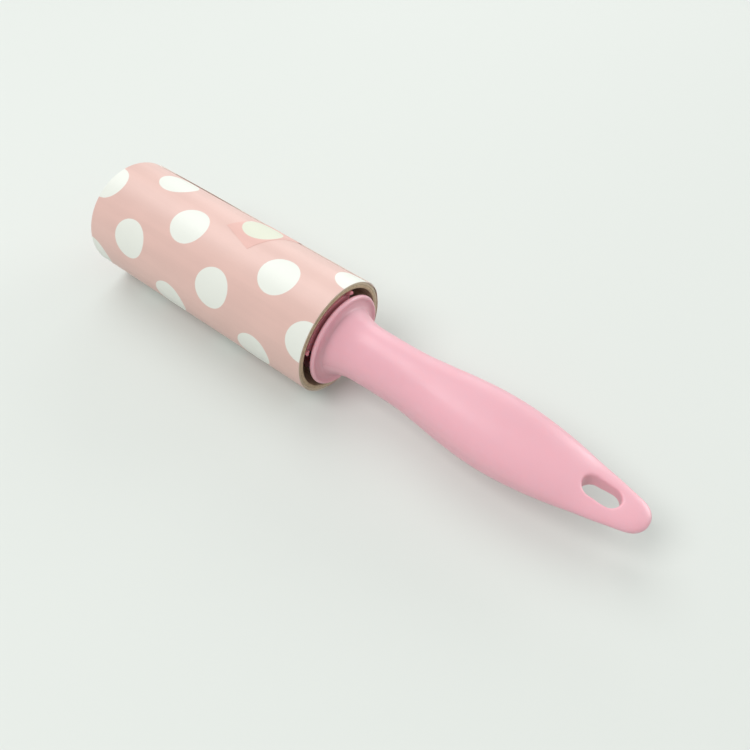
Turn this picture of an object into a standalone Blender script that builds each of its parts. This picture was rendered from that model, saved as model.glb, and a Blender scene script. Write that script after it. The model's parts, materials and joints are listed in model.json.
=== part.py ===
"""Small lint roller with a two-shell plastic handle, a grip barrel and a paper refill.

Metres, +Z up. The roller's axis runs along X, with the handle towards +X. The origin is under
the middle of the object, on the surface that the roll rests on. Inside the functions, x is
counted from the handle-side end of the roll, and y and z from the roller's axis.
"""

from math import cos, pi, radians, sin, sqrt

import bmesh
import bpy
from mathutils import Vector

MM = 0.001

# Driving dimensions
ROLL_LENGTH = 100.0 * MM
ROLL_RADIUS = 20.35 * MM
CORE_INNER_RADIUS = 18.0 * MM
CORE_WALL = 1.15 * MM
COVER_THICKNESS = 0.2 * MM
HANDLE_REACH = 111.0 * MM  # from the end of the roll to the tip of the handle
FLANGE_RADIUS = 16.4 * MM
SPINDLE_RADIUS = 4.0 * MM
BARREL_RADIUS = 16.2 * MM
RIB_TIP_RADIUS = 17.7 * MM
CAP_RADIUS = 17.3 * MM
PANEL_WALL = 1.4 * MM
SHELL_WALL = 1.7 * MM
LOWER_SHELL_WALL = 2.1 * MM
SLOT_LENGTH = 12.0 * MM
SLOT_WIDTH = 6.8 * MM

# Clearances
FIT_GAP = 0.3 * MM
LAYER_GAP = 0.05 * MM
SPIN_GAP = 0.08 * MM
ROOT_GAP = 0.15 * MM
PARTING_GAP = 0.1 * MM

# Angles about the roller's axis, from +Y towards +Z
PANEL_MIDDLE = radians(112.5)
RIB_OFFSET = radians(44.5)
PANEL_HALF_ANGLE = radians(47.5)
SEAM_ANGLE = radians(39)
LAP_ANGLE = radians(13)

ROUND_SIDES = 48
HALF_FACET = pi / ROUND_SIDES
AXIS_HEIGHT = ROLL_RADIUS * cos(HALF_FACET)
ROLL_END_X = (ROLL_LENGTH - HANDLE_REACH) / 2

# Places along the axis
FLANGE_BACK = 0.7 * MM
FLANGE_FRONT = 2.8 * MM
NECK_START = FLANGE_FRONT + FIT_GAP
BARREL_FRONT = FLANGE_BACK - FIT_GAP  # the hub's sleeve and the grip ribs
PANEL_FRONT = -0.6 * MM
RAIL_FRONT = -3.0 * MM
HUB_BACK = -93.0 * MM
PANEL_BACK = -97.4 * MM
CAP_FRONT = PANEL_BACK - FIT_GAP
CAP_BACK = -99.4 * MM
SLOT_START = 89.8 * MM
CAVITY_END = 84.0 * MM

# Handle sections: x, half width, half height (mm) and superellipse power
HANDLE_SECTIONS = (
    (12.0, 9.75, 9.70, 2.00),
    (20.0, 9.60, 9.55, 2.02),
    (30.0, 9.75, 9.30, 2.15),
    (38.0, 10.65, 9.12, 2.30),
    (47.0, 11.95, 8.95, 2.45),
    (56.0, 12.85, 8.65, 2.50),
    (64.0, 13.10, 8.20, 2.46),
    (74.0, 12.45, 7.05, 2.42),
    (84.0, 11.10, 5.00, 2.36),
    (92.0, 9.45, 3.00, 2.30),
    (98.0, 8.15, 2.40, 2.28),
    (104.0, 6.60, 2.25, 2.25),
    (111.0, 5.30, 2.15, 2.25),
)
NECK_FLARE = 2.3 * MM  # how much wider the neck is where it meets the flange
NECK_FLARE_END = 12.0 * MM
TIP_ROUND_START = 100.0 * MM

PINK = (0.89, 0.43, 0.50)
DEEP_PINK = (0.80, 0.33, 0.42)
PAPERBOARD = (0.48, 0.38, 0.26)
PAPER = (0.86, 0.80, 0.68)
COVER_PINK = (0.83, 0.55, 0.51)
FILM = (0.90, 0.62, 0.55)


def clear_scene():
    for item in list(bpy.data.objects):
        bpy.data.objects.remove(item)


def material(name, colour, roughness):
    made = bpy.data.materials.new(name)
    made.use_nodes = True
    shader = made.node_tree.nodes["Principled BSDF"]
    shader.inputs["Base Color"].default_value = (*colour, 1)
    shader.inputs["Roughness"].default_value = roughness
    return made


def empty(name, location, parent=None):
    made = bpy.data.objects.new(name, None)
    bpy.context.scene.collection.objects.link(made)
    made.location = location
    made.parent = parent
    return made


def mesh_object(name, points, faces, parent, finish=None):
    """A closed mesh as an object, with its normals made to point out."""
    mesh = bpy.data.meshes.new(name)
    shape = bmesh.new()
    corners = [shape.verts.new(point) for point in points]
    for face in faces:
        shape.faces.new([corners[i] for i in face])
    bmesh.ops.recalc_face_normals(shape, faces=shape.faces)
    shape.to_mesh(mesh)
    shape.free()
    mesh.shade_smooth()
    mesh.set_sharp_from_angle(angle=radians(35))
    made = bpy.data.objects.new(name, mesh)
    bpy.context.scene.collection.objects.link(made)
    made.parent = parent
    if finish:
        mesh.materials.append(finish)
    return made


def loft(rings):
    """Points and faces of a solid through rings of equally many points, with flat ends."""
    count = len(rings[0])
    points = [point for ring in rings for point in ring]
    faces = []
    for row in range(len(rings) - 1):
        for i in range(count):
            j = (i + 1) % count
            a, b = row * count, (row + 1) * count
            faces.append((a + i, a + j, b + j, b + i))
    faces.append(tuple(range(count)))
    faces.append(tuple(range(len(points) - count, len(points))))
    return points, faces


def prism(outline, start, end):
    """An outline of (y, z) points extruded along X."""
    return loft([[(x, y, z) for y, z in outline] for x in (start, end)])


def turned(profile, sides=ROUND_SIDES):
    """A closed profile of (x, radius) points turned about the axis. Radius 0 is a pole."""
    points, rows = [], []
    for x, radius in profile:
        if radius == 0:
            rows.append([len(points)] * sides)
            points.append((x, 0, 0))
            continue
        rows.append(range(len(points), len(points) + sides))
        for i in range(sides):
            angle = 2 * pi * i / sides + HALF_FACET
            points.append((x, radius * cos(angle), radius * sin(angle)))
    faces = []
    for row, following in zip(rows, rows[1:] + rows[:1]):
        for i in range(sides):
            j = (i + 1) % sides
            corners = (row[i], row[j], following[j], following[i])
            corners = tuple(dict.fromkeys(corners))
            if len(corners) > 2:
                faces.append(corners)
    return points, faces


def box_points(low, high):
    outline = [(low[1], low[2]), (high[1], low[2]), (high[1], high[2]), (low[1], high[2])]
    return prism(outline, low[0], high[0])


def arc(radius, start, end, steps):
    """(y, z) points on a circle about the axis, from one angle to another."""
    return [
        (radius * cos(start + (end - start) * i / steps), radius * sin(start + (end - start) * i / steps))
        for i in range(steps + 1)
    ]


def turn_outline(outline, angle):
    return [(y * cos(angle) - z * sin(angle), y * sin(angle) + z * cos(angle)) for y, z in outline]


def boolean(target, cutter, operation):
    cutter.hide_render = True
    cutter.display_type = "WIRE"
    modifier = target.modifiers.new(cutter.name, "BOOLEAN")
    modifier.operation = operation
    modifier.object = cutter


def cutter(target, name, shape, operation="DIFFERENCE"):
    made = mesh_object(name, *shape, target.parent)
    boolean(target, made, operation)


# Handle


def section_at(x):
    """Half width, half height and power at x, on a smooth curve through the sections."""
    rows = [(place * MM, width * MM, height * MM, power) for place, width, height, power in HANDLE_SECTIONS]
    if x <= rows[0][0]:
        return rows[0][1:]
    index = next(i for i in range(len(rows) - 1) if x <= rows[i + 1][0] or i == len(rows) - 2)
    before, after = rows[max(index - 1, 0)], rows[min(index + 2, len(rows) - 1)]
    low, high = rows[index], rows[index + 1]
    span = high[0] - low[0]
    t = (x - low[0]) / span
    values = []
    for k in (1, 2, 3):
        slope_low = (high[k] - before[k]) / (high[0] - before[0]) * span
        slope_high = (after[k] - low[k]) / (after[0] - low[0]) * span
        values.append(
            low[k] * (2 * t**3 - 3 * t**2 + 1)
            + slope_low * (t**3 - 2 * t**2 + t)
            + high[k] * (3 * t**2 - 2 * t**3)
            + slope_high * (t**3 - t**2)
        )
    return values


def handle_size(x):
    """Half width, half height and power, with the neck's flare and the rounded tip."""
    width, height, power = section_at(x)
    if x < NECK_FLARE_END:
        flare = NECK_FLARE * ((NECK_FLARE_END - x) / (NECK_FLARE_END - NECK_START)) ** 2
        return width + flare, height + flare, power
    t = max(0.0, (x - TIP_ROUND_START) / (HANDLE_REACH - TIP_ROUND_START))
    rounding = sqrt(max(0.0, 1 - t**5))
    return width * rounding, height * rounding, power


def half_ring(x, side, floor, inset=0.0, steps=16):
    """Half of the handle's outline at x, closed along z = floor. side is 1 above, -1 below."""
    width, height, power = handle_size(x)
    ring = []
    for i in range(steps + 1):
        angle = pi * i / steps
        across = abs(cos(angle)) ** (2 / power) * (width - inset)
        up = abs(sin(angle)) ** (2 / power) * (height - inset)
        y = across if cos(angle) > 0 else -across
        ring.append((x, y, side * max(up, floor)))
    ring[0] = (x, ring[0][1], side * floor)
    ring[-1] = (x, ring[-1][1], side * floor)
    return ring


def handle_half(side):
    stations = [NECK_START, 4.2 * MM, 6.5 * MM, 9.0 * MM, 12.0 * MM]
    stations += [(18 + 6 * i) * MM for i in range(12)]
    stations += [x * MM for x in (88.5, 92.5, 96.5, 100.0, 103.2, 105.9, 107.8, 109.2, 110.15, 110.7, 110.97)]
    return loft([half_ring(x, side, PARTING_GAP / 2) for x in stations])


def pocket(side, start, end, wall):
    """The space inside a shell between two of its ribs, reaching past the parting plane."""
    count = max(2, round((end - start) / (7 * MM)) + 1)
    rings = []
    for i in range(count):
        ring = half_ring(start + (end - start) * i / (count - 1), side, PARTING_GAP / 2, wall, 12)
        past = -side * MM
        rings.append([(ring[0][0], ring[0][1], past)] + ring + [(ring[-1][0], ring[-1][1], past)])
    return loft(rings)


SLOT_CUT_REACH = 8.0 * MM  # past both faces of the handle


def slot_shape(steps=8):
    """The hanging slot as a rounded prism through both faces of the handle."""
    radius = SLOT_WIDTH / 2
    reach = SLOT_LENGTH / 2 - radius
    middle = SLOT_START + SLOT_LENGTH / 2
    outline = []
    for end in (1, -1):
        for i in range(steps + 1):
            angle = -end * pi / 2 + pi * i / steps
            outline.append((middle + end * reach + radius * cos(angle), radius * sin(angle)))
    return loft([[(x, y, z) for x, y in outline] for z in (-SLOT_CUT_REACH, SLOT_CUT_REACH)])


ROOT_HALF_WIDTH = 4.5 * MM
ROOT_HALF_HEIGHT = 3.5 * MM
ROOT_COLLAR_START = 29.3 * MM
ROOT_END = 31.3 * MM
RIB_PLACES = ((15.0 * MM, 17.0 * MM), (27.0 * MM, 29.0 * MM))
PIN_PLACES = (46.0 * MM, 72.0 * MM)
PIN_RADIUS = 1.3 * MM
BOSS_RADIUS = 2.8 * MM
PIN_HEIGHT = 3.0 * MM


def upright(x, radius, low, high, sides=16):
    """A round post along Z at x on the centre line."""
    rings = []
    for z in (low, high):
        rings.append(
            [
                (x + radius * cos(2 * pi * i / sides), radius * sin(2 * pi * i / sides), z)
                for i in range(sides)
            ]
        )
    return loft(rings)


def shell(name, side, wall, parent, finish):
    made = mesh_object(name, *handle_half(side), parent, finish)
    ends = [9.0 * MM] + [edge for rib in RIB_PLACES for edge in rib] + [CAVITY_END]
    for i in range(0, len(ends), 2):
        cutter(made, f"{name}_pocket_{i // 2}", pocket(side, ends[i], ends[i + 1], wall))
    gap = ROOT_GAP
    root_low = (0, -ROOT_HALF_WIDTH - gap, -ROOT_HALF_HEIGHT - gap)
    root_high = (ROOT_COLLAR_START, ROOT_HALF_WIDTH + gap, ROOT_HALF_HEIGHT + gap)
    cutter(made, f"{name}_root_hole", box_points(root_low, root_high))
    face = PARTING_GAP / 2
    for i, x in enumerate(PIN_PLACES):
        top = handle_size(x)[1] - wall / 2
        low, high = sorted((side * face, side * top))
        cutter(made, f"{name}_boss_{i}", upright(x, BOSS_RADIUS, low, high), "UNION")
        if side > 0:
            socket = upright(x, PIN_RADIUS + ROOT_GAP, -MM, PIN_HEIGHT + 2 * FIT_GAP)
            cutter(made, f"{name}_socket_{i}", socket)
        else:
            cutter(made, f"{name}_pin_{i}", upright(x, PIN_RADIUS, -2 * MM, PIN_HEIGHT), "UNION")
    cutter(made, f"{name}_slot", slot_shape())
    return made


# Spindle and barrel


def spindle(parent, finish):
    """Rod, flange and root in one moulding. The far end is split into two snap prongs."""
    barb = HUB_BACK - FIT_GAP
    bead = 0.9 * MM  # radius of the rounded rim
    rim = []
    for i in range(7):
        angle = -pi / 2 + pi * i / 6
        x = FLANGE_BACK + bead + bead * sin(angle)
        rim.append((x, FLANGE_RADIUS - bead + bead * cos(angle)))
    profile = [(barb - 3.3 * MM, 0), (barb - 3.3 * MM, 3.2 * MM), (barb - 0.6 * MM, 4.9 * MM)]
    profile += [(barb, 4.9 * MM), (barb, SPINDLE_RADIUS), (FLANGE_BACK, SPINDLE_RADIUS)]
    profile += rim
    profile += [(2.05 * MM, 14.6 * MM), (2.25 * MM, 13.2 * MM), (FLANGE_FRONT, 12.0 * MM)]
    profile += [(FLANGE_FRONT, 0)]
    made = mesh_object("spindle", *turned(profile), parent, finish)
    root_low = (FLANGE_FRONT - MM, -ROOT_HALF_WIDTH, -ROOT_HALF_HEIGHT)
    root_high = (ROOT_COLLAR_START + MM, ROOT_HALF_WIDTH, ROOT_HALF_HEIGHT)
    cutter(made, "spindle_root", box_points(root_low, root_high), "UNION")
    collar_low = (ROOT_COLLAR_START, -5.5 * MM, -4.5 * MM)
    collar_high = (ROOT_END, 5.5 * MM, 4.5 * MM)
    cutter(made, "spindle_collar", box_points(collar_low, collar_high), "UNION")
    split_low = (barb - 5 * MM, -0.8 * MM, -8 * MM)
    split_high = (barb + 13 * MM, 0.8 * MM, 8 * MM)
    cutter(made, "spindle_split", box_points(split_low, split_high))
    return made


RIB_HALF_WIDTH = 0.85 * MM
HUB_RADIUS = 6.0 * MM
WEB_HALF_WIDTH = 0.9 * MM
RAIL_HALF_WIDTH = 3.0 * MM
RAIL_LOW = 12.9 * MM
RAIL_HIGH = 14.1 * MM
HOOK_LOW = 11.5 * MM
HOOK_LIP_TOP = 12.6 * MM
HOOK_INNER = RAIL_HALF_WIDTH + FIT_GAP
HOOK_OUTER = 4.5 * MM


def hub_outline():
    """Round sleeve with a web and a T rail on each side, as (y, z) with the webs along Y."""
    root = sqrt(HUB_RADIUS**2 - WEB_HALF_WIDTH**2)
    edge = WEB_HALF_WIDTH / HUB_RADIUS
    wing = [
        (root, -WEB_HALF_WIDTH),
        (RAIL_LOW, -WEB_HALF_WIDTH),
        (RAIL_LOW, -RAIL_HALF_WIDTH),
        (RAIL_HIGH, -RAIL_HALF_WIDTH),
        (RAIL_HIGH, RAIL_HALF_WIDTH),
        (RAIL_LOW, RAIL_HALF_WIDTH),
        (RAIL_LOW, WEB_HALF_WIDTH),
        (root, WEB_HALF_WIDTH),
    ]
    sleeve = arc(HUB_RADIUS, edge, pi - edge, 12)[1:-1]
    half = wing + sleeve
    return half + turn_outline(half, pi)


def barrel_hub(parent, finish):
    outline = turn_outline(hub_outline(), PANEL_MIDDLE)
    made = mesh_object("barrel_hub", *prism(outline, HUB_BACK, BARREL_FRONT), parent, finish)
    bore = SPINDLE_RADIUS + SPIN_GAP
    past = BARREL_FRONT + MM
    profile = [(HUB_BACK - MM, 0), (HUB_BACK - MM, bore), (past, bore), (past, 0)]
    cutter(made, "barrel_hub_bore", turned(profile))
    sleeve = HUB_RADIUS + FIT_GAP
    profile = [(RAIL_FRONT, sleeve), (RAIL_FRONT, ROLL_RADIUS), (past, ROLL_RADIUS), (past, sleeve)]
    cutter(made, "barrel_hub_rail_ends", turned(profile))
    return made


def rib_outline(angle):
    """A grip rib's rounded top, as points from its low-angle side to its high-angle side."""
    straight = RIB_TIP_RADIUS - RIB_HALF_WIDTH
    points = []
    for i in range(7):
        turn = -pi / 2 + pi * i / 6
        points.append((straight + RIB_HALF_WIDTH * cos(turn), RIB_HALF_WIDTH * sin(turn)))
    return turn_outline(points, angle)


def panel_outline():
    """Curved panel with two grip ribs outside and two rail hooks inside, about the +Y side."""
    inner = BARREL_RADIUS - PANEL_WALL
    rib_half_angle = RIB_HALF_WIDTH / BARREL_RADIUS
    outline = arc(BARREL_RADIUS, -PANEL_HALF_ANGLE, -RIB_OFFSET - rib_half_angle, 1)
    outline += rib_outline(-RIB_OFFSET)
    outline += arc(BARREL_RADIUS, -RIB_OFFSET + rib_half_angle, RIB_OFFSET - rib_half_angle, 10)
    outline += rib_outline(RIB_OFFSET)
    outline += arc(BARREL_RADIUS, RIB_OFFSET + rib_half_angle, PANEL_HALF_ANGLE, 1)
    outer_hook = sqrt(inner**2 - HOOK_OUTER**2)
    inner_hook = sqrt(inner**2 - HOOK_INNER**2)
    lip = WEB_HALF_WIDTH + FIT_GAP
    hook = [
        (outer_hook, HOOK_OUTER),
        (HOOK_LOW, HOOK_OUTER),
        (HOOK_LOW, lip),
        (HOOK_LIP_TOP, lip),
        (HOOK_LIP_TOP, HOOK_INNER),
        (inner_hook, HOOK_INNER),
    ]
    hook_angle = HOOK_OUTER / inner
    outline += arc(inner, PANEL_HALF_ANGLE, hook_angle + radians(2), 4)
    outline += hook
    outline += [(inner, 0)]
    outline += [(y, -z) for y, z in reversed(hook)]
    outline += arc(inner, -hook_angle - radians(2), -PANEL_HALF_ANGLE, 4)
    return outline


def grip_panel(name, angle, parent, finish):
    """A panel whose ribs run on past its front edge, almost to the flange."""
    outline = turn_outline(panel_outline(), angle)
    made = mesh_object(name, *prism(outline, PANEL_BACK, BARREL_FRONT), parent, finish)
    rib_foot = BARREL_RADIUS + FIT_GAP
    past = BARREL_FRONT + MM
    profile = [(PANEL_FRONT, 0), (PANEL_FRONT, rib_foot), (past, rib_foot), (past, 0)]
    cutter(made, f"{name}_front", turned(profile))
    return made


def barrel_end_cap(parent, finish):
    """Disc with a plug ring that sits between the panels' rails."""
    edge = 0.5 * MM
    plug_outer = HOOK_LOW - FIT_GAP
    plug_inner = plug_outer - 1.6 * MM
    plug_front = HUB_BACK - FIT_GAP
    rim = CAP_RADIUS
    profile = [
        (CAP_BACK, 0),
        (CAP_BACK, rim - edge),
        (CAP_BACK + edge, rim),
        (CAP_FRONT, rim),
        (CAP_FRONT, plug_outer),
        (plug_front, plug_outer),
        (plug_front, plug_inner),
        (CAP_FRONT, plug_inner),
        (CAP_FRONT, 0),
    ]
    return mesh_object("barrel_end_cap", *turned(profile), parent, finish)


# Refill


def tube(name, inner, outer, start, end, parent, finish):
    profile = [(start, inner), (start, outer), (end, outer), (end, inner)]
    return mesh_object(name, *turned(profile), parent, finish)


def cover_radius(turn):
    """Inner radius of the cover sheet, by the angle it has run from its first edge."""
    base = ROLL_RADIUS - COVER_THICKNESS
    lap_start = 2 * pi - LAP_ANGLE / 2
    rise = COVER_THICKNESS + LAYER_GAP
    t = min(1.0, max(0.0, (turn - lap_start + radians(15)) / radians(15)))
    return base + rise * t * t * (3 - 2 * t)


def cover_sheet(parent, finish):
    """The wrap goes once round and laps over its own first edge, ending at the seam."""
    total = 2 * pi + LAP_ANGLE
    first = SEAM_ANGLE - LAP_ANGLE
    step = 2 * pi / ROUND_SIDES
    facet = [HALF_FACET + step * i for i in range(-ROUND_SIDES, 2 * ROUND_SIDES)]
    angles = [first] + [a for a in facet if first + 0.01 < a < first + total - 0.01] + [first + total]
    inside = [arc(cover_radius(a - first), a, a, 1)[0] for a in angles]
    outside = [arc(cover_radius(a - first) + COVER_THICKNESS, a, a, 1)[0] for a in angles]
    outline = outside + inside[::-1]
    count = len(angles)
    points = [(x, y, z) for x in (-ROLL_LENGTH, 0) for y, z in outline]
    faces = []
    for i in range(2 * count):
        j = (i + 1) % (2 * count)
        faces.append((i, j, 2 * count + j, 2 * count + i))
    for end in (0, 2 * count):
        for i in range(count - 1):
            inner = 2 * count - 1 - i
            faces.append((end + i, end + i + 1, end + inner - 1, end + inner))
    return mesh_object("cover_sheet", points, faces, parent, finish)


STICKER_WIDTH = 14.1 * MM
STICKER_LENGTH = 22.0 * MM
STICKER_THICKNESS = 0.12 * MM
STICKER_CORNER = (-49.8 * MM, radians(84.5))  # x and angle of the corner furthest from the handle
STICKER_TURN = radians(18)


def cover_surface(angle):
    """Outer radius of the cover sheet at an angle about the axis."""
    run = (angle - (SEAM_ANGLE - LAP_ANGLE)) % (2 * pi)
    if run < LAP_ANGLE:
        run += 2 * pi
    return cover_radius(run) + COVER_THICKNESS


def seal_sticker(parent, finish):
    """A thin oblong film laid on the curved cover, across its free edge."""
    columns, rows = 6, 12
    points = []
    for lift in (LAYER_GAP, LAYER_GAP + STICKER_THICKNESS):
        for r in range(rows + 1):
            for c in range(columns + 1):
                along = STICKER_WIDTH * c / columns
                down = STICKER_LENGTH * r / rows
                x = STICKER_CORNER[0] + along * cos(STICKER_TURN) + down * sin(STICKER_TURN)
                arc_run = along * sin(STICKER_TURN) - down * cos(STICKER_TURN)
                angle = STICKER_CORNER[1] + arc_run / ROLL_RADIUS
                radius = max(cover_surface(angle + radians(d)) for d in (-4, -2, 0, 2, 4)) + lift
                points.append((x, radius * cos(angle), radius * sin(angle)))
    layer = (rows + 1) * (columns + 1)
    faces = []
    for r in range(rows):
        for c in range(columns):
            a = r * (columns + 1) + c
            b = a + columns + 1
            faces.append((a, a + 1, b + 1, b))
            faces.append((layer + a, layer + a + 1, layer + b + 1, layer + b))
    border = [c for c in range(columns + 1)]
    border += [(r + 1) * (columns + 1) + columns for r in range(rows)]
    border += [rows * (columns + 1) + columns - 1 - c for c in range(columns)]
    border += [(rows - 1 - r) * (columns + 1) for r in range(rows - 1)]
    for a, b in zip(border, border[1:] + border[:1]):
        faces.append((a, b, layer + b, layer + a))
    return mesh_object("seal_sticker", points, faces, parent, finish)


def main():
    clear_scene()
    plastic = material("pink_plastic", PINK, 0.4)
    barrel_plastic = material("barrel_plastic", DEEP_PINK, 0.45)
    board = material("paperboard", PAPERBOARD, 0.9)
    tape = material("adhesive_paper", PAPER, 0.7)
    cover = material("printed_cover", COVER_PINK, 0.6)
    film = material("clear_film", FILM, 0.3)

    axis = empty("roller_axis", Vector((ROLL_END_X, 0, AXIS_HEIGHT)))
    shell("handle_upper_shell", 1, SHELL_WALL, axis, plastic)
    shell("handle_lower_shell", -1, LOWER_SHELL_WALL, axis, plastic)
    spindle(axis, plastic)

    roller = empty("roller_pivot", Vector((0, 0, 0)), axis)
    barrel_hub(roller, barrel_plastic)
    grip_panel("grip_panel_upper", PANEL_MIDDLE, roller, barrel_plastic)
    grip_panel("grip_panel_lower", PANEL_MIDDLE + pi, roller, barrel_plastic)
    barrel_end_cap(roller, barrel_plastic)

    refill = empty("refill_slide", Vector((0, 0, 0)), roller)
    core_outer = CORE_INNER_RADIUS + CORE_WALL
    tape_outer = ROLL_RADIUS - COVER_THICKNESS - LAYER_GAP
    tube("paper_core", CORE_INNER_RADIUS, core_outer, -ROLL_LENGTH, 0, refill, board)
    tube("adhesive_roll", core_outer + LAYER_GAP, tape_outer, -ROLL_LENGTH, 0, refill, tape)
    cover_sheet(refill, cover)
    seal_sticker(refill, film)


main()
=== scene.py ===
"""Looks of the small lint roller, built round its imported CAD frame.

Lengths are in metres. Inside the functions, points are counted from the handle-side end of the
roll and from the roller's axis, as in the CAD, and every piece sits at HOME, where that point is.
Angles are about the axis, from +Y towards +Z.
"""

import json
from math import cos, pi, radians, sin, sqrt

import bmesh
import bpy
import numpy as np
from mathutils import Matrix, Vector


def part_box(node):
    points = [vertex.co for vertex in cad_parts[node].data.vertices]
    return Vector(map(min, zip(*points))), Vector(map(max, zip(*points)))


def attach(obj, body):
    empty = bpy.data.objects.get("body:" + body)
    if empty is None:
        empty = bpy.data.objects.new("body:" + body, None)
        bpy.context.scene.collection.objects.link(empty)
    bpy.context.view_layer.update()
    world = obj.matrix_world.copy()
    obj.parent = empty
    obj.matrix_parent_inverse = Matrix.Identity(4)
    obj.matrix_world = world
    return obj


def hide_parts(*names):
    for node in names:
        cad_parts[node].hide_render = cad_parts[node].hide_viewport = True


MM = 0.001

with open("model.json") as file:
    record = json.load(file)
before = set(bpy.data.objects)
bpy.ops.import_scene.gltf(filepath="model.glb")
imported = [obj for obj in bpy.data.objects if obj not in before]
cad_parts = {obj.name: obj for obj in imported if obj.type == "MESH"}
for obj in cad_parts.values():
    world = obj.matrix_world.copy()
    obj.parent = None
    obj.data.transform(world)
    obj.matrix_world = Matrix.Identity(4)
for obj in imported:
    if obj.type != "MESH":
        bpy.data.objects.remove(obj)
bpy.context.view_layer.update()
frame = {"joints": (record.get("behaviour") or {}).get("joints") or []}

# Sizes read from the frame
AXIS_HEIGHT = frame["joints"][0]["pos_m"][2]
CORE_LOW, CORE_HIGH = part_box("paper_core")
ROLL_LENGTH = CORE_HIGH.x - CORE_LOW.x
HOME = Vector((CORE_HIGH.x, 0, AXIS_HEIGHT))
HANDLE_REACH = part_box("handle_upper_shell")[1].x - HOME.x
NECK_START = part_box("handle_upper_shell")[0].x - HOME.x
FLANGE_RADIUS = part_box("spindle")[1].y
CAP_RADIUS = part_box("barrel_end_cap")[1].y
ROLL_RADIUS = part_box("cover_sheet")[1].y
TAPE_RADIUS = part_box("adhesive_roll")[1].y
CORE_RADIUS = CORE_HIGH.y
BARREL_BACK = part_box("grip_panel_upper")[0].x - HOME.x
BARREL_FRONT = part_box("grip_panel_upper")[1].x - HOME.x
HUB_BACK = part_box("barrel_hub")[0].x - HOME.x
CAP_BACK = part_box("barrel_end_cap")[0].x - HOME.x
SPINDLE_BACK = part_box("spindle")[0].x - HOME.x
ROOT_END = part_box("spindle")[1].x - HOME.x

# Sizes that the CAD also uses
CORE_INNER_RADIUS = 18.0 * MM
SPINDLE_RADIUS = 4.0 * MM
SPIN_GAP = 0.08 * MM
FIT_GAP = 0.3 * MM
FLANGE_BACK = 0.7 * MM
FLANGE_FRONT = 2.8 * MM
SLOT_START = 89.8 * MM
SLOT_LENGTH = 12.0 * MM
SLOT_WIDTH = 6.8 * MM
BARREL_RADIUS = 16.2 * MM
RIB_TIP_RADIUS = 17.7 * MM
RIB_HALF_WIDTH = 0.85 * MM
PANEL_WALL = 1.4 * MM
PANEL_FRONT = -0.6 * MM
HUB_RADIUS = 6.0 * MM
WEB_HALF_WIDTH = 0.9 * MM
RAIL_FRONT = -3.0 * MM
RAIL_HALF_WIDTH = 3.0 * MM
RAIL_LOW = 12.9 * MM
RAIL_HIGH = 14.1 * MM
HOOK_LOW = 11.5 * MM
HOOK_LIP_TOP = 12.6 * MM
HOOK_INNER = RAIL_HALF_WIDTH + FIT_GAP
HOOK_OUTER = 4.5 * MM
PANEL_MIDDLE = radians(112.5)  # of the upper panel; the lower one is opposite
RIB_OFFSET = radians(44.5)
PANEL_HALF_ANGLE = radians(47.5)
SEAM_ANGLE = radians(39)  # where the wrap's free edge lies
LAP_ANGLE = radians(13)  # how far the wrap laps over its first edge

# Handle sections: x, half width, half height (mm) and superellipse power
HANDLE_SECTIONS = (
    (12.0, 9.75, 9.70, 2.00),
    (20.0, 9.60, 9.55, 2.02),
    (30.0, 9.75, 9.30, 2.15),
    (38.0, 10.65, 9.12, 2.30),
    (47.0, 11.95, 8.95, 2.45),
    (56.0, 12.85, 8.65, 2.50),
    (64.0, 13.10, 8.20, 2.46),
    (74.0, 12.45, 7.05, 2.42),
    (84.0, 11.10, 5.00, 2.36),
    (92.0, 9.45, 3.00, 2.30),
    (98.0, 8.15, 2.40, 2.28),
    (104.0, 6.60, 2.25, 2.25),
    (111.0, 5.30, 2.15, 2.25),
)
NECK_FLARE = 2.3 * MM  # how much wider the neck is where it meets the flange
NECK_FLARE_END = 12.0 * MM
TIP_ROUND_START = 100.0 * MM


# Meshes


def mesh_piece(name, points, faces, material, sharp=radians(35)):
    """A closed mesh as a smooth-shaded object at HOME, with its normals pointing out."""
    mesh = bpy.data.meshes.new(name)
    shape = bmesh.new()
    corners = [shape.verts.new(point) for point in points]
    for face in faces:
        shape.faces.new([corners[i] for i in face])
    bmesh.ops.recalc_face_normals(shape, faces=shape.faces)
    shape.to_mesh(mesh)
    shape.free()
    mesh.shade_smooth()
    mesh.set_sharp_from_angle(angle=sharp)
    if material:
        mesh.materials.append(material)
    piece = bpy.data.objects.new(name, mesh)
    piece.location = HOME
    bpy.context.scene.collection.objects.link(piece)
    return piece


def turned(profile, sides=192):
    """A closed profile of (x, radius) points turned about the axis. Radius 0 is a pole."""
    points, rows = [], []
    for x, radius in profile:
        if radius == 0:
            rows.append([len(points)] * sides)
            points.append((x, 0, 0))
            continue
        rows.append(range(len(points), len(points) + sides))
        for i in range(sides):
            angle = 2 * pi * i / sides
            points.append((x, radius * cos(angle), radius * sin(angle)))
    faces = []
    for row, following in zip(rows, rows[1:] + rows[:1]):
        for i in range(sides):
            j = (i + 1) % sides
            corners = tuple(dict.fromkeys((row[i], row[j], following[j], following[i])))
            if len(corners) > 2:
                faces.append(corners)
    return points, faces


def loft(rings):
    """Points and faces of a solid through rings of equally many points, with flat ends."""
    count = len(rings[0])
    points = [point for ring in rings for point in ring]
    faces = []
    for row in range(len(rings) - 1):
        for i in range(count):
            j = (i + 1) % count
            a, b = row * count, (row + 1) * count
            faces.append((a + i, a + j, b + j, b + i))
    faces.append(tuple(range(count)))
    faces.append(tuple(range(len(points) - count, len(points))))
    return points, faces


def prism(outline, start, end):
    """A solid between two x, from an outline of (y, z) points."""
    return loft([[(x, y, z) for y, z in outline] for x in (start, end)])


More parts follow.
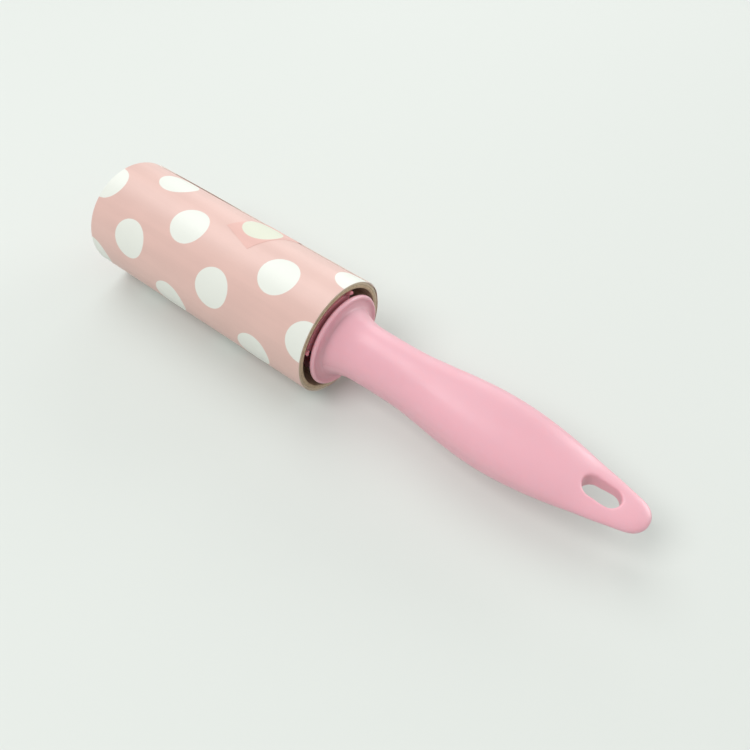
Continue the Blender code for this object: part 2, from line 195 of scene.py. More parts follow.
def arc(radius, start, end, steps, centre=(0, 0)):
    """(y, z) points on a circle, from one angle to another."""
    angles = [start + (end - start) * i / steps for i in range(steps + 1)]
    return [(centre[0] + radius * cos(a), centre[1] + radius * sin(a)) for a in angles]


def turn_outline(outline, angle):
    """The outline of (y, z) points turned about the axis."""
    c, s = cos(angle), sin(angle)
    return [(y * c - z * s, y * s + z * c) for y, z in outline]


def smooth_step(value, low, high):
    """0 up to low and 1 from high, with a smooth rise between them."""
    t = np.clip((value - low) / (high - low), 0, 1)
    return t * t * (3 - 2 * t)


def apply_modifiers(piece):
    """Gives the piece its evaluated mesh and takes its modifiers away."""
    graph = bpy.context.evaluated_depsgraph_get()
    made = bpy.data.meshes.new_from_object(piece.evaluated_get(graph))
    piece.modifiers.clear()
    piece.data = made


def combine(piece, points, faces, operation="DIFFERENCE"):
    """Takes a second solid away from the piece or, with "UNION", joins it on."""
    other = mesh_piece("cutter", points, faces, None)
    modifier = piece.modifiers.new("cut", "BOOLEAN")
    modifier.object = other
    modifier.operation = operation
    apply_modifiers(piece)
    bpy.data.objects.remove(other)


def bevelled(piece, width, segments=3):
    """The piece with its sharp edges rounded."""
    modifier = piece.modifiers.new("edges", "BEVEL")
    modifier.width = width
    modifier.segments = segments
    modifier.limit_method = "ANGLE"
    modifier.angle_limit = radians(50)
    apply_modifiers(piece)
    piece.data.shade_smooth()
    return piece


# Materials


class Shader:
    """A Principled material whose inputs are fed by short chains of nodes."""

    def __init__(self, name, colour, roughness, **settings):
        self.material = bpy.data.materials.new(name)
        self.material.use_nodes = True
        self.tree = self.material.node_tree
        self.surface = self.tree.nodes["Principled BSDF"]
        self.surface.inputs["Base Color"].default_value = (*colour, 1)
        self.surface.inputs["Roughness"].default_value = roughness
        for socket, value in settings.items():
            self.surface.inputs[socket.replace("_", " ")].default_value = value
        self.place = self.add("ShaderNodeTexCoord").outputs["Object"]

    def add(self, kind, **settings):
        """A new node of the kind, with its settings."""
        node = self.tree.nodes.new(kind)
        for name, value in settings.items():
            setattr(node, name, value)
        return node

    def feed(self, socket, value):
        """Links another node's output to the socket, or sets the socket's own value."""
        if isinstance(value, bpy.types.NodeSocket):
            self.tree.links.new(value, socket)
        else:
            socket.default_value = value

    def math(self, operation, *values):
        node = self.add("ShaderNodeMath", operation=operation)
        for socket, value in zip(node.inputs, values):
            self.feed(socket, value)
        return node.outputs[0]

    def stretch(self, scale):
        """The place, scaled by a different amount along each axis."""
        node = self.add("ShaderNodeMapping")
        self.feed(node.inputs["Vector"], self.place)
        node.inputs["Scale"].default_value = scale
        return node.outputs[0]

    def noise(self, scale, detail=3.0, roughness=0.5, place=None):
        """Noise from 0 to 1, with scale features to the metre."""
        node = self.add("ShaderNodeTexNoise")
        self.feed(node.inputs["Vector"], place or self.place)
        node.inputs["Scale"].default_value = scale
        node.inputs["Detail"].default_value = detail
        node.inputs["Roughness"].default_value = roughness
        return node.outputs["Fac"]

    def spread(self, value, low, high, to_low=0.0, to_high=1.0):
        """Maps a value's range smoothly on to another."""
        node = self.add("ShaderNodeMapRange", interpolation_type="SMOOTHSTEP")
        for socket, given in zip(node.inputs, (value, low, high, to_low, to_high)):
            self.feed(socket, given)
        return node.outputs[0]

    def mix(self, amount, first, second):
        """Mixes two colours. Inputs 6 and 7 and output 2 of the node are its colour ones."""
        node = self.add("ShaderNodeMix", data_type="RGBA")
        self.feed(node.inputs["Factor"], amount)
        for socket, colour in zip((node.inputs[6], node.inputs[7]), (first, second)):
            self.feed(socket, (*colour, 1) if isinstance(colour, tuple) else colour)
        return node.outputs[2]

    def colour(self, value):
        self.feed(self.surface.inputs["Base Color"], value)

    def roughness(self, value):
        self.feed(self.surface.inputs["Roughness"], value)

    def bump(self, height, distance, strength=1.0):
        """Adds a bump on top of those already there. distance is in metres."""
        node = self.add("ShaderNodeBump")
        node.inputs["Strength"].default_value = strength
        node.inputs["Distance"].default_value = distance
        self.feed(node.inputs["Height"], height)
        normal = self.surface.inputs["Normal"]
        if normal.is_linked:
            self.feed(node.inputs["Normal"], normal.links[0].from_socket)
        self.feed(normal, node.outputs[0])


def plastic(name, colour, roughness, subsurface, depth):
    """Milky moulded plastic: faint flow marks in its colour, a fine skin and rubbed patches.

    subsurface is how much light goes through its surface, and depth how far that light gets.
    """
    made = Shader(
        name,
        colour,
        roughness,
        Subsurface_Weight=subsurface,
        Subsurface_Radius=(1.0, 0.45, 0.4),
        Subsurface_Scale=depth,
        Specular_IOR_Level=1.0,
    )
    flow = made.noise(28, 2, place=made.stretch((0.35, 1, 1)))
    darker = tuple(channel * 0.94 for channel in colour)
    made.colour(made.mix(made.spread(flow, 0.35, 0.65), darker, colour))
    rubbed = made.noise(90, 4, 0.6)
    made.roughness(made.spread(rubbed, 0.35, 0.7, roughness - 0.05, roughness + 0.07))
    made.bump(made.noise(2600, 2), 0.006 * MM)  # skin
    made.bump(made.noise(160, 2), 0.03 * MM, 0.5)  # slight waves
    return made.material


def paperboard():
    """Grey-brown board with fibres and dark specks."""
    made = Shader("paperboard", (0.45, 0.34, 0.22), 0.85)
    fibres = made.noise(900, 5, 0.7, made.stretch((0.3, 1, 1)))
    specks = made.noise(240, 3, 0.6)
    base = made.mix(made.spread(fibres, 0.3, 0.7), (0.36, 0.27, 0.17), (0.56, 0.44, 0.30))
    made.colour(made.mix(made.spread(specks, 0.62, 0.8), base, (0.24, 0.17, 0.10)))
    made.bump(fibres, 0.03 * MM)
    return made.material


def sheet_stack():
    """Wound adhesive sheets: fine rings on the ends, waxy and slightly yellow."""
    made = Shader("adhesive_paper", (0.62, 0.53, 0.38), 0.6)
    parts = made.add("ShaderNodeSeparateXYZ")
    made.feed(parts.inputs[0], made.place)
    squares = [made.math("POWER", parts.outputs[i], 2.0) for i in (1, 2)]
    radius = made.math("SQRT", made.math("ADD", *squares))
    wobble = made.math("MULTIPLY", made.noise(120, 2), 0.12 * MM)
    ring = made.math("FRACT", made.math("DIVIDE", made.math("ADD", radius, wobble), 0.15 * MM))
    layers = made.math("PINGPONG", ring, 0.5)
    pale = made.mix(made.noise(400, 3), (0.66, 0.58, 0.44), (0.52, 0.43, 0.29))
    made.colour(made.mix(made.spread(layers, 0.0, 0.25), (0.33, 0.25, 0.16), pale))
    made.bump(layers, 0.03 * MM)
    return made.material


DOT_PITCH = 40.0 * MM  # along the roll
DOT_ROWS = 29.6 * MM  # two rows' spacing round the roll
DOT_RADIUS = 7.0 * MM
DOT_START = (-60.4 * MM, radians(105.6))  # one dot's centre
DOT_SLOPE = -0.017  # how far the rows run round the roll for each step along it


def dot_place(x, angle):
    """UV of a point on the wrap: whole numbers fall on the centres of every other row's dots."""
    along = x - DOT_START[0]
    round_roll = ROLL_RADIUS * (angle - DOT_START[1]) - DOT_SLOPE * along
    return along / DOT_PITCH, round_roll / DOT_ROWS


def dot_mask(made):
    """1 on a white dot and 0 between dots, from UV."""
    place = made.add("ShaderNodeUVMap").outputs[0]
    masks = []
    for shift in (0.5, 0.0):
        moved = made.add("ShaderNodeVectorMath", operation="ADD")
        made.feed(moved.inputs[0], place)
        moved.inputs[1].default_value = (shift, shift, 0)
        cell = made.add("ShaderNodeVectorMath", operation="FRACTION")
        made.feed(cell.inputs[0], moved.outputs[0])
        centred = made.add("ShaderNodeVectorMath", operation="SUBTRACT")
        made.feed(centred.inputs[0], cell.outputs[0])
        centred.inputs[1].default_value = (0.5, 0.5, 0)
        sized = made.add("ShaderNodeVectorMath", operation="MULTIPLY")
        made.feed(sized.inputs[0], centred.outputs[0])
        sized.inputs[1].default_value = (DOT_PITCH, DOT_ROWS, 0)
        length = made.add("ShaderNodeVectorMath", operation="LENGTH")
        made.feed(length.inputs[0], sized.outputs[0])
        masks.append(length.outputs["Value"])
    nearest = made.math("MINIMUM", *masks)
    ragged = made.math("MULTIPLY_ADD", made.noise(1500, 2), 0.12 * MM, -0.06 * MM)
    edge = made.math("ADD", nearest, ragged)
    return made.spread(edge, DOT_RADIUS - 0.08 * MM, DOT_RADIUS + 0.08 * MM, 1.0, 0.0)


def printed_paper(name, pink, white, roughness, **settings):
    """Coated paper printed in dusty pink round white dots, with faint streaks and fibres."""
    made = Shader(name, pink, roughness, **settings)
    streaks = made.noise(220, 3, 0.6, made.stretch((0.06, 1, 1)))
    cloud = made.noise(45, 3)
    halves = [made.math("MULTIPLY", noise, 0.5) for noise in (streaks, cloud)]
    uneven = made.math("ADD", *halves)
    darker = tuple(channel * 0.95 for channel in pink)
    ink = made.mix(made.spread(uneven, 0.4, 0.6), darker, pink)
    made.colour(made.mix(dot_mask(made), ink, white))
    fibres = made.noise(1800, 4, 0.65, made.stretch((0.5, 1, 1)))
    made.roughness(made.spread(fibres, 0.3, 0.7, roughness - 0.05, roughness + 0.05))
    made.bump(fibres, 0.008 * MM)
    made.bump(made.noise(70, 2, place=made.stretch((0.25, 1, 1))), 0.12 * MM, 0.6)  # slack
    return made.material


def plain_paper(name, colour):
    """Bare paper for the wrap's cut edges."""
    made = Shader(name, colour, 0.85)
    grain = made.noise(1400, 3)
    darker = tuple(channel * 0.8 for channel in colour)
    made.colour(made.mix(grain, darker, colour))
    made.bump(grain, 0.01 * MM)
    return made.material


PINK_PLASTIC = plastic(
    "pink_plastic", (0.735, 0.37, 0.43), roughness=0.39, subsurface=0.3, depth=1.0 * MM
)
# The barrel is moulded in the handle's pink. This darker, redder copy is painted shade for the deep
# gap between the flange and the core, where the barrel shows.
BARREL_PINK_PAINTED_SHADE = plastic(
    "barrel_plastic", (0.74, 0.28, 0.33), roughness=0.45, subsurface=0.4, depth=1.5 * MM
)
BOARD = paperboard()
SHEETS = sheet_stack()
PRINT = printed_paper(
    "printed_cover",
    pink=(0.65, 0.412, 0.363),
    white=(0.695, 0.70, 0.645),
    roughness=0.42,
    Specular_IOR_Level=1.3,
)
PAPER_EDGE = plain_paper("paper_edge", (0.78, 0.68, 0.60))
# Darker cut edge along the unstuck stretch of the free edge: partly the brown adhesive side of the
# sheet, partly painted shade of the gap under the lifted edge.
GLUED_EDGE_AND_GAP_SHADE = plain_paper("glued_edge_and_gap_shade", (0.55, 0.43, 0.36))
# The film shows the print under it, a little yellower.
FILM = printed_paper(
    "clear_film", pink=(0.68, 0.41, 0.365), white=(0.63, 0.64, 0.53), roughness=0.5
)


# Handle


def section_table():
    """Dense arrays of x and of the other columns, on smooth curves through the sections."""
    rows = np.array(HANDLE_SECTIONS) * (MM, MM, MM, 1)
    slopes = np.gradient(rows[:, 1:], rows[:, 0], axis=0)
    places = np.linspace(rows[0, 0], rows[-1, 0], 800)
    index = np.clip(np.searchsorted(rows[:, 0], places, "right") - 1, 0, len(rows) - 2)
    span = (rows[index + 1, 0] - rows[index, 0])[:, None]
    t = (places[:, None] - rows[index, 0][:, None]) / span
    values = (
        rows[index, 1:] * (2 * t**3 - 3 * t**2 + 1)
        + slopes[index] * span * (t**3 - 2 * t**2 + t)
        + rows[index + 1, 1:] * (3 * t**2 - 2 * t**3)
        + slopes[index + 1] * span * (t**3 - t**2)
    )
    return places, values.T


SECTION_X, SECTION_VALUES = section_table()


def handle_size(x):
    """Half width, half height and power at each x, with the neck's flare and the rounded tip."""
    x = np.asarray(x, float)
    width, height, power = (np.interp(x, SECTION_X, column) for column in SECTION_VALUES)
    before = np.clip(NECK_FLARE_END - x, 0, None)
    flare = NECK_FLARE * (before / (NECK_FLARE_END - NECK_START)) ** 2
    t = np.clip((x - TIP_ROUND_START) / (HANDLE_REACH - TIP_ROUND_START), 0, 1)
    rounding = np.sqrt(1 - t**5)
    return (width + flare) * rounding, (height + flare) * rounding, power


def handle_solid():
    """The whole handle, a little longer at the neck than it ends up."""
    body = np.arange(NECK_START - MM, TIP_ROUND_START, 1.2 * MM)
    tip = TIP_ROUND_START + (HANDLE_REACH - TIP_ROUND_START) * np.sin(np.linspace(0, pi / 2, 26))
    angles = np.linspace(0, 2 * pi, 128, endpoint=False)
    rings = []
    for x in [*body, *tip[:-1]]:
        width, height, power = handle_size(x)
        y = np.sign(np.cos(angles)) * np.abs(np.cos(angles)) ** (2 / power) * width
        z = np.sign(np.sin(angles)) * np.abs(np.sin(angles)) ** (2 / power) * height
        rings.append([(x, *pair) for pair in zip(y, z)])
    return loft(rings)


SLOT_MIDDLE = SLOT_START + SLOT_LENGTH / 2
SLOT_REACH = (SLOT_LENGTH - SLOT_WIDTH) / 2  # from its middle to the centres of its round ends
SLOT_CUT_REACH = 8 * MM  # past both faces of the handle


def slot_cutter():
    """The hanging slot, straight through the handle."""
    outline = arc(SLOT_WIDTH / 2, -pi / 2, pi / 2, 20, (SLOT_MIDDLE + SLOT_REACH, 0))
    outline += arc(SLOT_WIDTH / 2, pi / 2, 3 * pi / 2, 20, (SLOT_MIDDLE - SLOT_REACH, 0))
    return loft([[(x, y, z) for x, y in outline] for z in (-SLOT_CUT_REACH, SLOT_CUT_REACH)])


def slot_distance(points):
    """How far outside the hanging slot's outline each point is, seen from above."""
    beyond = np.clip(np.abs(points[:, 0] - SLOT_MIDDLE) - SLOT_REACH, 0, None)
    return np.hypot(beyond, points[:, 1]) - SLOT_WIDTH / 2


def points_of(mesh):
    flat = np.empty(len(mesh.vertices) * 3)
    mesh.vertices.foreach_get("co", flat)
    return flat.reshape(-1, 3)


def refine_handle(piece):
    """Puts the remeshed surface back on its sections and softens the lip of the slot."""
    points = points_of(piece.data)
    width, height, power = handle_size(points[:, 0])
    reach = (
        np.abs(points[:, 1] / np.maximum(width, MM)) ** power
        + np.abs(points[:, 2] / np.maximum(height, MM)) ** power
    ) ** (1 / power)
    away = slot_distance(points)
    plain = smooth_step(away, 0.3 * MM, 0.8 * MM)
    plain *= 1 - smooth_step(points[:, 0], HANDLE_REACH - 2.4 * MM, HANDLE_REACH - 1.2 * MM)
    points[:, 1:] *= (1 + plain * (1 / np.maximum(reach, 0.2) - 1))[:, None]
    piece.data.vertices.foreach_set("co", points.ravel())
    lip = piece.vertex_groups.new(name="lip")
    weight = 1 - smooth_step(np.abs(away), 0.8 * MM, 1.8 * MM)
    for index in np.flatnonzero(weight > 0):
        lip.add([int(index)], weight[index], "REPLACE")
    softened = piece.modifiers.new("soften", "SMOOTH")
    softened.vertex_group = lip.name
    softened.factor = 0.5
    softened.iterations = 24
    apply_modifiers(piece)


def cut_away(mesh, point, normal):
    """Removes what lies beyond a plane and closes the cut."""
    shape = bmesh.new()
    shape.from_mesh(mesh)
    geometry = shape.verts[:] + shape.edges[:] + shape.faces[:]
    cut = bmesh.ops.bisect_plane(
        shape, geom=geometry, plane_co=point, plane_no=normal, clear_outer=True
    )
    edges = [item for item in cut["geom_cut"] if isinstance(item, bmesh.types.BMEdge)]
    bmesh.ops.triangle_fill(shape, use_beauty=True, edges=edges)
    bmesh.ops.recalc_face_normals(shape, faces=shape.faces)
    shape.to_mesh(mesh)
    shape.free()


HANDLE_VOXEL = 0.35 * MM
PARTING_GAP = 0.04 * MM


def handle_shells():
    """Both halves of the handle, parted along its middle."""
    whole = mesh_piece("handle_whole", *handle_solid(), PINK_PLASTIC)
    combine(whole, *slot_cutter())
    remesh = whole.modifiers.new("remesh", "REMESH")
    remesh.mode = "VOXEL"
    remesh.voxel_size = HANDLE_VOXEL
    apply_modifiers(whole)
    refine_handle(whole)
    cut_away(whole.data, (NECK_START, 0, 0), (-1, 0, 0))
    for name, side in (("upper", 1), ("lower", -1)):
        mesh = whole.data.copy()
        cut_away(mesh, (0, 0, side * PARTING_GAP / 2), (0, 0, -side))
        mesh.shade_smooth()
        mesh.set_sharp_from_angle(angle=radians(50))
        mesh.materials.clear()
        mesh.materials.append(PINK_PLASTIC)
        shell = bpy.data.objects.new(f"handle_{name}", mesh)
        shell.location = HOME
        bpy.context.scene.collection.objects.link(shell)
        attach(shell, "handle")
        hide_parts(f"handle_{name}_shell")
    bpy.data.objects.remove(whole)


FLANGE_BEAD = 0.9 * MM  # radius of the round rim
# The flange's dished face between its rim and the neck: x and radius (mm)
FLANGE_FACE = (
    (2.25, 15.0),
    (2.08, 14.5),
    (2.05, 14.0),
    (2.12, 13.3),
    (2.30, 12.7),
    (2.55, 12.3),
)


def spindle():
    """The rod, its snap end and the flange at the neck, with a bead round the flange's rim."""
    barb = HUB_BACK - FIT_GAP
    neck = NECK_START - 0.03 * MM
    rim_x = FLANGE_BACK + FLANGE_BEAD
    rim_radius = FLANGE_RADIUS - FLANGE_BEAD
    profile = [(SPINDLE_BACK, 0), (SPINDLE_BACK, 3.0 * MM), (SPINDLE_BACK + 0.2 * MM, 3.25 * MM)]
    profile += [(barb - 0.7 * MM, 4.8 * MM), (barb - 0.5 * MM, 4.9 * MM), (barb, 4.9 * MM)]
    profile += [(barb, SPINDLE_RADIUS), (FLANGE_BACK, SPINDLE_RADIUS)]
    for angle in np.linspace(0, pi, 15):
        profile.append((rim_x - FLANGE_BEAD * cos(angle), rim_radius + FLANGE_BEAD * sin(angle)))
    profile += [(x * MM, radius * MM) for x, radius in FLANGE_FACE]
    profile += [(FLANGE_FRONT, 12.05 * MM), (neck, 11.95 * MM)]
    profile += [(neck, 5.0 * MM), (ROOT_END, 4.5 * MM), (ROOT_END, 0)]
    piece = mesh_piece("spindle_and_flange", *turned(profile), PINK_PLASTIC)
    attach(piece, "handle")
    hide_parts("spindle")


# Barrel


PAST_FRONT = 2 * MM  # where the barrel's cutters end, clear of its front


def hub():
    """The sleeve on the spindle, with two webs that end in T rails, cut short at the front."""
    edge = WEB_HALF_WIDTH / HUB_RADIUS
    root = sqrt(HUB_RADIUS**2 - WEB_HALF_WIDTH**2)
    wing = [(root, -WEB_HALF_WIDTH), (RAIL_LOW, -WEB_HALF_WIDTH)]
    wing += [(RAIL_LOW, -RAIL_HALF_WIDTH), (RAIL_HIGH, -RAIL_HALF_WIDTH)]
    wing += [(y, -z) for y, z in reversed(wing)]
    half = wing + arc(HUB_RADIUS, edge, pi - edge, 40)[1:-1]
    outline = turn_outline(half + turn_outline(half, pi), PANEL_MIDDLE)
    piece = mesh_piece("hub", *prism(outline, HUB_BACK, BARREL_FRONT), BARREL_PINK_PAINTED_SHADE)
    back, bore = HUB_BACK - MM, SPINDLE_RADIUS + SPIN_GAP
    combine(piece, *turned([(back, 0), (back, bore), (PAST_FRONT, bore), (PAST_FRONT, 0)], 96))
    low, high = HUB_RADIUS + FIT_GAP, RAIL_HIGH + MM
    ring = [(RAIL_FRONT, low), (RAIL_FRONT, high), (PAST_FRONT, high), (PAST_FRONT, low)]
    combine(piece, *turned(ring))
    return bevelled(piece, 0.15 * MM, 2)


def panel_outline():
    """Curved panel with two rounded grip ribs outside and two rail hooks inside, about +Y."""
    inner = BARREL_RADIUS - PANEL_WALL
    rib_angle = RIB_HALF_WIDTH / BARREL_RADIUS
    rib = arc(RIB_HALF_WIDTH, -pi / 2, pi / 2, 12, (RIB_TIP_RADIUS - RIB_HALF_WIDTH, 0))
    outline = arc(BARREL_RADIUS, -PANEL_HALF_ANGLE, -RIB_OFFSET - rib_angle, 3)
    outline += turn_outline(rib, -RIB_OFFSET)
    outline += arc(BARREL_RADIUS, -RIB_OFFSET + rib_angle, RIB_OFFSET - rib_angle, 50)
    outline += turn_outline(rib, RIB_OFFSET)
    outline += arc(BARREL_RADIUS, RIB_OFFSET + rib_angle, PANEL_HALF_ANGLE, 3)
    hook_lip = WEB_HALF_WIDTH + FIT_GAP
    hook = [
        (sqrt(inner**2 - HOOK_OUTER**2), HOOK_OUTER),
        (HOOK_LOW, HOOK_OUTER),
        (HOOK_LOW, hook_lip),
        (HOOK_LIP_TOP, hook_lip),
        (HOOK_LIP_TOP, HOOK_INNER),
        (sqrt(inner**2 - HOOK_INNER**2), HOOK_INNER),
    ]
    hook_angle = HOOK_OUTER / inner + radians(2)
    outline += arc(inner, PANEL_HALF_ANGLE, hook_angle, 14)
    outline += hook + [(inner, 0)] + [(y, -z) for y, z in reversed(hook)]
    outline += arc(inner, -hook_angle, -PANEL_HALF_ANGLE, 14)
    return outline


LIP_THICKNESS = 1.6 * MM
LIP_INNER_RADIUS = 12.4 * MM


def grip_panel(name, angle):
    """A panel with a lip turned in at its front edge, and ribs that run on past it."""
    outline = turn_outline(panel_outline(), angle)
    piece = mesh_piece(name, *prism(outline, BARREL_BACK, BARREL_FRONT), BARREL_PINK_PAINTED_SHADE)
    lip = arc(BARREL_RADIUS - PANEL_WALL / 2, -PANEL_HALF_ANGLE, PANEL_HALF_ANGLE, 40)
    lip += arc(LIP_INNER_RADIUS, PANEL_HALF_ANGLE, -PANEL_HALF_ANGLE, 40)
    lip = turn_outline(lip, angle)
    combine(piece, *prism(lip, PANEL_FRONT - LIP_THICKNESS, PANEL_FRONT), "UNION")
    foot = BARREL_RADIUS + FIT_GAP
    disc = [(PANEL_FRONT, 0), (PANEL_FRONT, foot), (PAST_FRONT, foot), (PAST_FRONT, 0)]
    combine(piece, *turned(disc))
    return bevelled(piece, 0.18 * MM)


# The end cap's outer face, from its middle: depth below its highest plane, and radius (mm)
CAP_FACE = (
    (0.35, 0),  # gate mark
    (0.35, 1.1),
    (0.20, 1.3),
    (0.20, 6.6),  # shallow ring
    (0.45, 6.9),
    (0.45, 7.6),
    (0.20, 7.9),
    (0.20, 15.2),  # raised rim
    (0.05, 15.6),
    (0, 15.9),
)
CAP_RIM_EDGE = 0.45 * MM
CAP_PLUG_WALL = 1.6 * MM


def end_cap():
    """Disc over the barrel's far end, with a plug ring between the panels' hooks."""
    plug_front = HUB_BACK - FIT_GAP
    front = BARREL_BACK - FIT_GAP
    rim, eased = CAP_RADIUS, 0.15 * MM
    outer = HOOK_LOW - FIT_GAP
    inner = outer - CAP_PLUG_WALL
    profile = [(CAP_BACK + depth * MM, radius * MM) for depth, radius in CAP_FACE]
    profile += [(CAP_BACK, rim - CAP_RIM_EDGE), (CAP_BACK + 0.13 * MM, rim - 0.13 * MM)]
    profile += [(CAP_BACK + CAP_RIM_EDGE, rim), (front - eased, rim), (front, rim - eased)]
    profile += [(front, outer), (plug_front - 0.1 * MM, outer), (plug_front, outer - 0.1 * MM)]
    profile += [(plug_front, inner), (front, inner), (front, 0)]
    return mesh_piece("end_cap", *turned(profile), BARREL_PINK_PAINTED_SHADE)


def barrel():
    """The hub, both grip panels and the end cap, which turn together."""
    pieces = {
        "barrel_hub": hub(),
        "grip_panel_upper": grip_panel("panel_upper", PANEL_MIDDLE),
        "grip_panel_lower": grip_panel("panel_lower", PANEL_MIDDLE + pi),
        "barrel_end_cap": end_cap(),
    }
    for node, piece in pieces.items():
        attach(piece, "roller")
        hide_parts(node)


# Refill


def tube(name, inner, outer, start, end, edge, material):
    """A tube with its four corners eased."""
    profile = [(start + edge, inner), (start, inner + edge)]
    profile += [(start, outer - edge), (start + edge, outer)]
    profile += [(end - edge, outer), (end, outer - edge)]
    profile += [(end, inner + edge), (end - edge, inner)]
    return mesh_piece(name, *turned(profile), material, sharp=radians(50))


COVER_THICKNESS = 0.2 * MM
LAYER_GAP = 0.05 * MM
LIFT_SPAN = (-93 * MM, -59 * MM)  # where the free edge has come unstuck
LIFT_HEIGHT = 0.1 * MM
LIFT_ANGLE = radians(9)  # how far back round the roll it has come unstuck
LAP_RISE = COVER_THICKNESS + LAYER_GAP  # how far the wrap steps up over its own first edge
LAP_RISE_ANGLE = radians(15)


def wrap_radius(x, run):
    """Outer radius of the wrap where it has run so far round from its first edge."""
    risen = 2 * pi - LAP_ANGLE / 2  # before it meets its first edge
    radius = ROLL_RADIUS + LAP_RISE * smooth_step(run, risen - LAP_RISE_ANGLE, risen)
    middle = (LIFT_SPAN[0] + LIFT_SPAN[1]) / 2
    near = max(0.0, 1 - ((x - middle) / (LIFT_SPAN[1] - middle)) ** 2)
    curl = max(0.0, 1 - (2 * pi + LAP_ANGLE - run) / LIFT_ANGLE)
    return radius + LIFT_HEIGHT * near * curl**2


def layer_faces(columns, rows):
    """Faces of a sheet's two layers: two grids of points, the second after the first."""
    across = columns + 1
    layer = across * (rows + 1)
    faces = []
    for r in range(rows):
        for c in range(columns):
            a = r * across + c
            cell = (a, a + 1, a + across + 1, a + across)
            faces += [cell, tuple(layer + i for i in cell)]
    return faces


def set_uv(mesh, places):
    """Gives each point its place in the print."""
    layer = mesh.uv_layers.new(name="print")
    for loop in mesh.loops:
        layer.data[loop.index].uv = places[loop.vertex_index]


def wrap():
    """The printed wrap: once round the roll, over its own first edge, to the free edge."""
    first = SEAM_ANGLE - LAP_ANGLE
    total = 2 * pi + LAP_ANGLE
    rounds, rows = 320, 60
    points, places = [], []
    for layer in (0, 1):
        for r in range(rows + 1):
            x = -ROLL_LENGTH + ROLL_LENGTH * r / rows
            for c in range(rounds + 1):
                run = total * c / rounds
                radius = wrap_radius(x, run) - layer * COVER_THICKNESS
                angle = first + run
                points.append((x, radius * cos(angle), radius * sin(angle)))
                places.append(dot_place(x, angle))
    across = rounds + 1
    sheet = across * (rows + 1)
    faces = layer_faces(rounds, rows)
    edges = []
    for c in range(rounds):
        for a in (c, rows * across + c):
            edges.append((a, a + 1, sheet + a + 1, sheet + a))
    lifted = set()
    for r in range(rows):
        for a in (r * across, r * across + rounds):
            edges.append((a, a + across, sheet + a + across, sheet + a))
        if LIFT_SPAN[0] < points[r * across][0] < LIFT_SPAN[1]:
            lifted.add(len(faces) + len(edges) - 1)
    piece = mesh_piece("wrap", points, faces + edges, PRINT)
    mesh = piece.data
    mesh.materials.append(PAPER_EDGE)
    mesh.materials.append(GLUED_EDGE_AND_GAP_SHADE)
    # The end faces along the unstuck stretch get the darker edge, which carries painted shade of
    # the gap beneath.
    for index in range(len(faces), len(mesh.polygons)):
        mesh.polygons[index].material_index = 2 if index in lifted else 1
    set_uv(mesh, places)
    return piece


STICKER_WIDTH = 14.1 * MM
STICKER_LENGTH = 22.0 * MM
STICKER_THICKNESS = 0.05 * MM
STICKER_GAP = 0.015 * MM
STICKER_CORNER = (-49.8 * MM, radians(84.5))  # x and angle
STICKER_TURN = radians(18)  # how far it is askew
STICKER_STEP_ANGLE = radians(5)  # in which it comes down from the free edge to the wrap


def sticker():
    """The film that holds the wrap's free edge and lies on the wrap both sides of it."""
    columns, rows = 30, 60
    points, places = [], []
    for lift in (STICKER_GAP, STICKER_GAP + STICKER_THICKNESS):
        for r in range(rows + 1):
            for c in range(columns + 1):
                along = STICKER_WIDTH * c / columns
                down = STICKER_LENGTH * r / rows
                x = STICKER_CORNER[0] + along * cos(STICKER_TURN) + down * sin(STICKER_TURN)
                turn = (along * sin(STICKER_TURN) - down * cos(STICKER_TURN)) / ROLL_RADIUS
                angle = STICKER_CORNER[1] + turn
                over_lap = smooth_step(
                    SEAM_ANGLE + STICKER_STEP_ANGLE - angle, 0, STICKER_STEP_ANGLE
                )
                radius = ROLL_RADIUS + LAP_RISE * over_lap + lift
                points.append((x, radius * cos(angle), radius * sin(angle)))
                places.append(dot_place(x, angle))
    across = columns + 1
    layer = across * (rows + 1)
    rim = [(c, c + 1) for c in range(columns)]
    rim += [(rows * across + c, rows * across + c + 1) for c in range(columns)]
    rim += [(r * across, (r + 1) * across) for r in range(rows)]
    rim += [(r * across + columns, (r + 1) * across + columns) for r in range(rows)]
    faces = layer_faces(columns, rows)
    faces += [(a, b, layer + b, layer + a) for a, b in rim]
    piece = mesh_piece("sticker", points, faces, FILM)
    set_uv(piece.data, places)
    return piece


TAPE_INSET = 0.15 * MM  # of the sheets' ends from the core's


def refill():
    """The core, the wound sheets, the wrap and its sticker."""
    core = tube("core", CORE_INNER_RADIUS, CORE_RADIUS, -ROLL_LENGTH, 0, 0.15 * MM, BOARD)
    tape_start, tape_end = -ROLL_LENGTH + TAPE_INSET, -TAPE_INSET
    tape_inner = CORE_RADIUS + LAYER_GAP
    tape = tube("sheet_roll", tape_inner, TAPE_RADIUS, tape_start, tape_end, 0.05 * MM, SHEETS)
    pieces = (
        (core, "paper_core", "paperboard"),
        (tape, "adhesive_roll", "adhesive_paper"),
        (wrap(), "cover_sheet", "printed_cover"),
        (sticker(), "seal_sticker", "clear_film"),
    )
    for piece, node, slot in pieces:
        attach(piece, "refill")
        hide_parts(node)


# Stage


FLOOR_HALF = 3.0


def floor():
    """A plain matt surface under everything."""
    floor_finish = Shader("floor", (0.625, 0.643, 0.616), 0.6)
    floor_finish.bump(floor_finish.noise(300, 3), 0.02 * MM)
    mesh = bpy.data.meshes.new("floor")
    corners = [(x * FLOOR_HALF, y * FLOOR_HALF, 0) for x, y in ((-1, -1), (1, -1), (1, 1), (-1, 1))]
    mesh.from_pydata(corners, [], [(0, 1, 2, 3)])
    mesh.materials.append(floor_finish.material)
    made = bpy.data.objects.new("floor", mesh)
    bpy.context.scene.collection.objects.link(made)


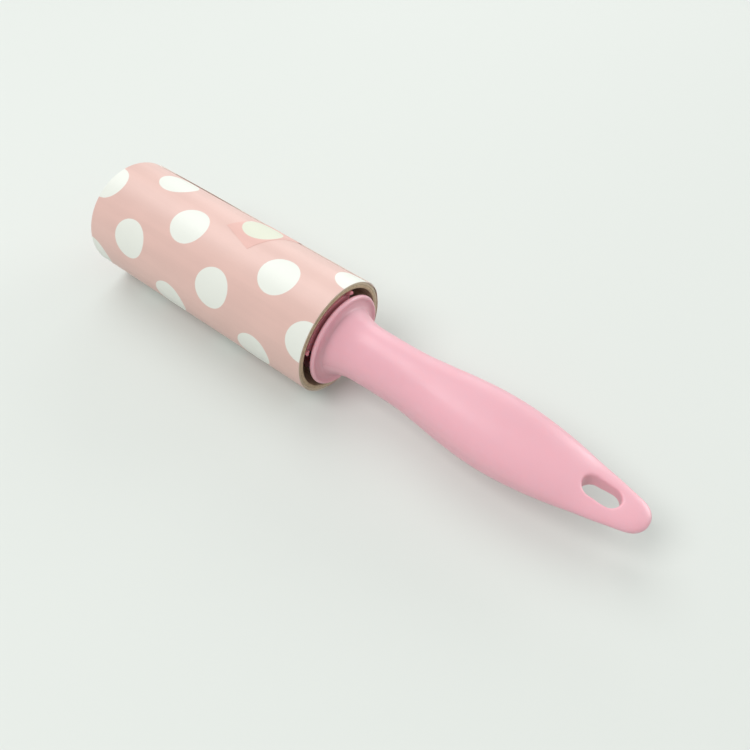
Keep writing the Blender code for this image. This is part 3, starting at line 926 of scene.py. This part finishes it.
CAMERA_LENS = 37.87  # mm, on a sensor 36 mm wide
CAMERA_PLACE = (0.11482, -0.12718, 0.19623)  # from HOME
CAMERA_TILT = radians(38.34)  # up from straight down
CAMERA_TURN = radians(38.19)  # about the upright


def camera():
    """Looks down at the roller from the handle's side."""
    data = bpy.data.cameras.new("camera")
    data.lens = CAMERA_LENS
    data.sensor_width = 36
    data.clip_start = 0.01
    made = bpy.data.objects.new("camera", data)
    made.location = HOME + Vector(CAMERA_PLACE)
    made.rotation_euler = (CAMERA_TILT, 0, CAMERA_TURN)
    bpy.context.scene.collection.objects.link(made)
    bpy.context.scene.camera = made


# Large soft discs round the object: azimuth and elevation of each in degrees, size in metres,
# power in watts, and whether it shows in highlights
LIGHTS = {
    "behind": (65, 12, 1.1, 10.0, True),
    "behind_left": (115, 14, 1.2, 4.6, True),
    "above_left": (155, 58, 1.2, 6.8, True),
    "front_left": (245, 58, 0.9, 13.0, False),
}
LIGHT_DISTANCE = 1.6
SKY_COLOUR = (0.95, 1.0, 0.98, 1)
SKY_STRENGTH = 0.61


def lights():
    """The soft discs, all turned to the object, and an even sky."""
    for name, (azimuth, elevation, size, power, glossy) in LIGHTS.items():
        data = bpy.data.lights.new(name, "AREA")
        data.shape = "DISK"
        data.size = size
        data.energy = power
        made = bpy.data.objects.new(name, data)
        across = cos(radians(elevation)) * LIGHT_DISTANCE
        height = sin(radians(elevation)) * LIGHT_DISTANCE
        away = Vector((across * cos(radians(azimuth)), across * sin(radians(azimuth)), height))
        made.location = away
        made.visible_glossy = glossy
        made.rotation_euler = away.to_track_quat("Z", "Y").to_euler()
        bpy.context.scene.collection.objects.link(made)
    world = bpy.data.worlds.new("sky")
    world.use_nodes = True
    background = world.node_tree.nodes["Background"]
    background.inputs["Color"].default_value = SKY_COLOUR
    background.inputs["Strength"].default_value = SKY_STRENGTH
    bpy.context.scene.world = world


handle_shells()
spindle()
barrel()
refill()
floor()
camera()
lights()
bpy.context.scene.view_settings.view_transform = "Standard"
